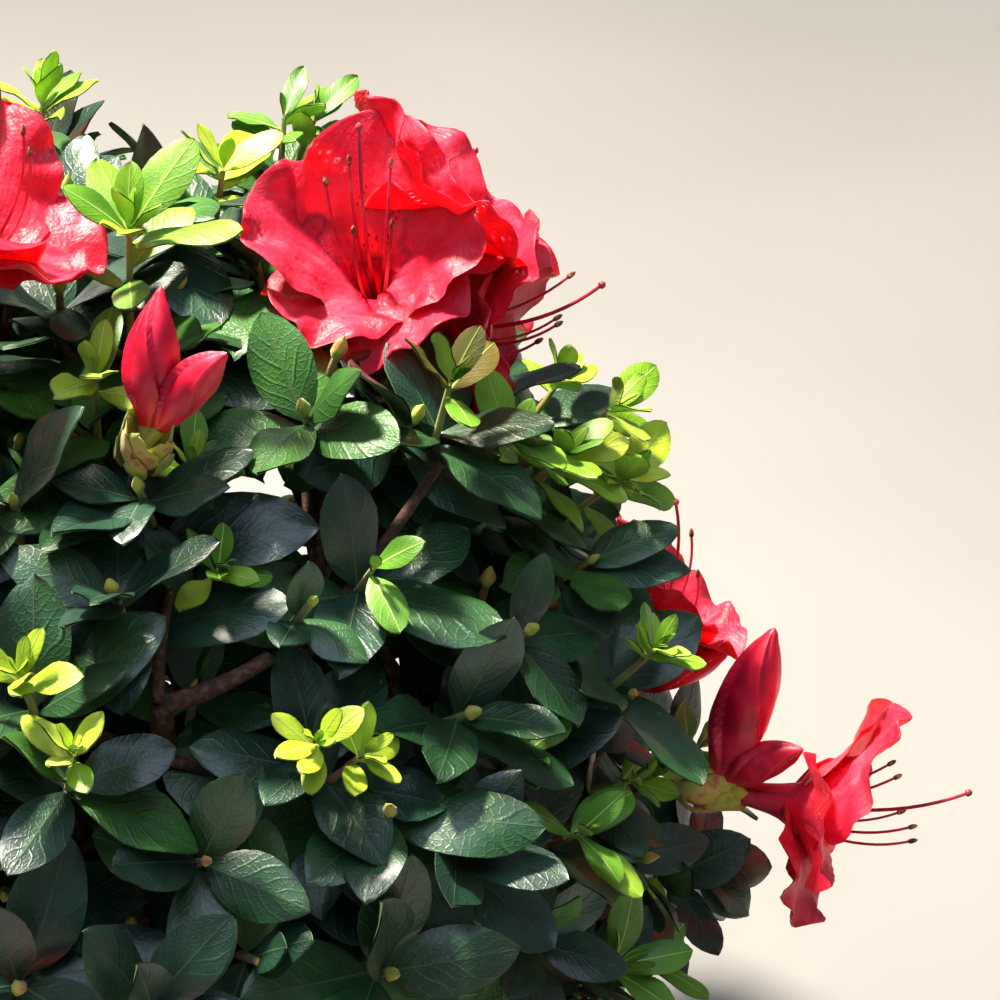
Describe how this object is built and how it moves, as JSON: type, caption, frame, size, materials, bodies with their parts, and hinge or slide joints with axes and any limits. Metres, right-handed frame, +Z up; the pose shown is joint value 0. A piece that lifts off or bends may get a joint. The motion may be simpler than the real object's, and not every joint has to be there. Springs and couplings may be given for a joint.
{
  "type": "azalea shrub in bloom",
  "caption": "Low rounded evergreen azalea on one short stem, with leafy twigs, funnel-shaped red blooms and pointed buds.",
  "frame": {"origin": "centre of the flat cut under the main stem, at ground level", "axes": "+Z up along the main stem; the pictured side faces -Y, and +X is to the viewer's right"},
  "size_m": [0.4193, 0.4498, 0.3664],
  "materials": {
    "bark": "thin red-brown bark with fine ridges",
    "foliage": "dark glossy leaves, yellow-green where young",
    "petals": "soft satin red petals over a green and brown cup"
  },
  "bodies": {
    "root": {"main_stem": "bark", "bough_top": "bark", "bough_upper_1": "bark", "bough_upper_2": "bark", "bough_upper_3": "bark", "bough_upper_4": "bark", "bough_upper_5": "bark", "bough_lower_1": "bark", "bough_lower_2": "bark", "bough_lower_3": "bark", "bough_lower_4": "bark", "bough_lower_5": "bark", "bough_lower_6": "bark", "flowering_twig_1": "petals", "flowering_twig_2": "petals", "flowering_twig_3": "petals", "flowering_twig_4": "petals", "flowering_twig_5": "petals", "flowering_twig_6": "petals", "flowering_twig_7": "petals", "flowering_twig_8": "petals", "flowering_twig_9": "petals", "flowering_twig_10": "petals", "flowering_twig_11": "petals", "flowering_twig_12": "petals", "flowering_twig_13": "petals", "foliage_top": "foliage", "foliage_upper_1": "foliage", "foliage_upper_2": "foliage", "foliage_upper_3": "foliage", "foliage_upper_4": "foliage", "foliage_upper_5": "foliage", "foliage_lower_1": "foliage", "foliage_lower_2": "foliage", "foliage_lower_3": "foliage", "foliage_lower_4": "foliage", "foliage_lower_5": "foliage", "foliage_lower_6": "foliage"}
  },
  "joints": []
}
